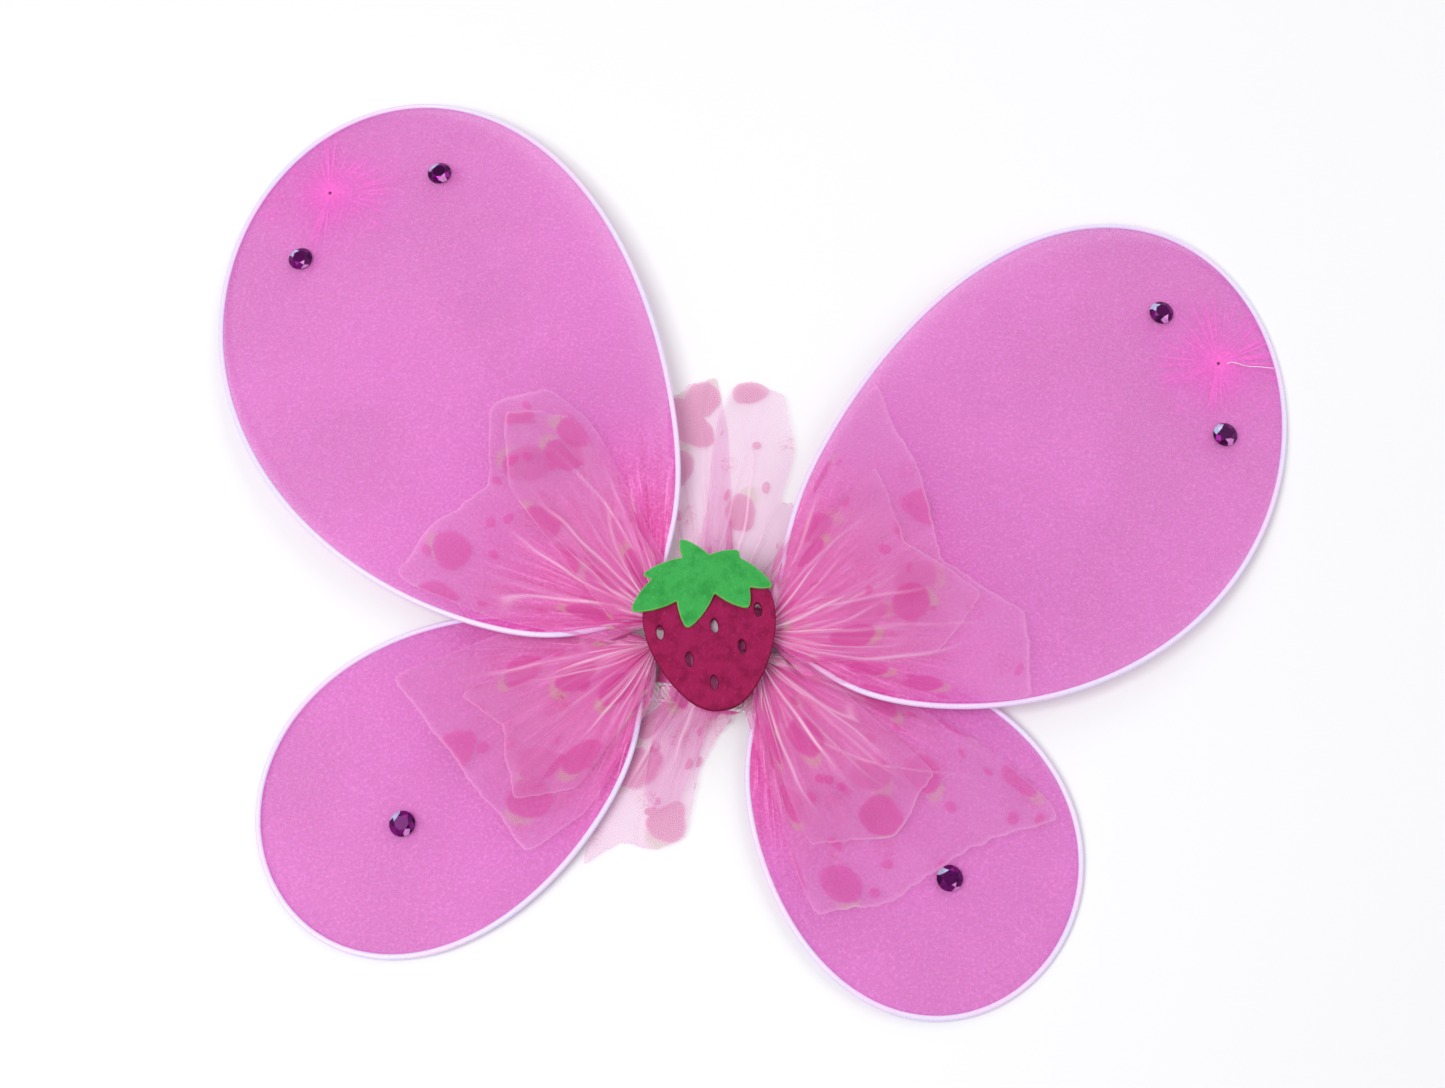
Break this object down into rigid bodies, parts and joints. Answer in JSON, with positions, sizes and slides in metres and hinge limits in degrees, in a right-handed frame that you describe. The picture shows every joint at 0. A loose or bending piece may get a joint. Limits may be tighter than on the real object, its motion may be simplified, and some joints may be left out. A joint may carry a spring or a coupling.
{
  "type": "fairy wings",
  "caption": "Child's costume wings: sheer nylon stretched on bent wire loops, gathered at a felt strawberry, with printed tulle, rhinestones and elastic arm loops.",
  "frame": {"origin": "centre of the back pad's rear face, which rests on the wearer's back", "axes": "+X along the span towards the right-hand wings seen from the front, +Y towards the upper wings, +Z out of the decorated front"},
  "size_m": [0.4589, 0.3724, 0.0242],
  "materials": {
    "nylon": "sheer stretched nylon, two layers",
    "wire": "white plastic-covered wire",
    "wrap": "wound pink ribbon",
    "tulle": "sheer tulle printed with small strawberries and dots",
    "tie": "white ribbon",
    "glue": "clear hot glue",
    "berry_felt": "felt",
    "leaf_felt": "felt",
    "pad_felt": "felt",
    "rhinestone": "faceted, foil backed",
    "elastic": "braided flat elastic"
  },
  "bodies": {
    "centre": {"back_pad": "pad_felt", "strap_tab_top_left": "elastic", "strap_tab_bottom_left": "elastic", "strap_tab_top_right": "elastic", "strap_tab_bottom_right": "elastic", "upper_wire_core": "wire", "lower_wire_core": "wire", "binding_wrap": "wrap", "tulle_knot": "tulle", "centre_tie": "tie", "glue_pad": "glue", "strawberry": "berry_felt", "calyx": "leaf_felt", "tulle_tail_top": "tulle", "tulle_tail_bottom": "tulle"},
    "left_upper": {"left_upper_root_wrap": "wrap", "left_upper_wire": "wire", "left_upper_cover": "nylon", "left_upper_pinch_knot": "wrap", "left_upper_tulle": "tulle", "left_upper_gem_high": "rhinestone", "left_upper_gem_low": "rhinestone"},
    "right_upper": {"right_upper_root_wrap": "wrap", "right_upper_wire": "wire", "right_upper_cover": "nylon", "right_upper_pinch_knot": "wrap", "right_upper_tulle": "tulle", "right_upper_gem_high": "rhinestone", "right_upper_gem_low": "rhinestone"},
    "left_lower": {"left_lower_root_wrap": "wrap", "left_lower_wire": "wire", "left_lower_cover": "nylon", "left_lower_tulle": "tulle", "left_lower_gem": "rhinestone"},
    "right_lower": {"right_lower_root_wrap": "wrap", "right_lower_wire": "wire", "right_lower_cover": "nylon", "right_lower_tulle": "tulle", "right_lower_gem": "rhinestone"},
    "left_strap": {"left_strap": "elastic"},
    "right_strap": {"right_strap": "elastic"}
  },
  "joints": [
    {"name": "left_fold", "type": "hinge", "parent": "centre", "child": "left_upper", "pos_m": [-0.02, 0, 0.0098], "axis": [0, 1, 0], "range_deg": [0, 35]},
    {"name": "right_fold", "type": "hinge", "parent": "centre", "child": "right_upper", "pos_m": [0.02, 0, 0.0098], "axis": [0, -1, 0], "range_deg": [0, 35]},
    {"name": "left_fan", "type": "hinge", "parent": "left_upper", "child": "left_lower", "pos_m": [-0.02, -0.0045, 0.0063], "axis": [0, 0, 1], "range_deg": [-8, 8]},
    {"name": "right_fan", "type": "hinge", "parent": "right_upper", "child": "right_lower", "pos_m": [0.02, -0.0045, 0.0063], "axis": [0, 0, -1], "range_deg": [-8, 8]},
    {"name": "left_strap_swing", "type": "hinge", "parent": "centre", "child": "left_strap", "pos_m": [-0.0202, 0, 0.0025], "axis": [0, -1, 0], "range_deg": [0, 95]},
    {"name": "right_strap_swing", "type": "hinge", "parent": "centre", "child": "right_strap", "pos_m": [0.0202, 0, 0.0025], "axis": [0, 1, 0], "range_deg": [0, 95]}
  ]
}
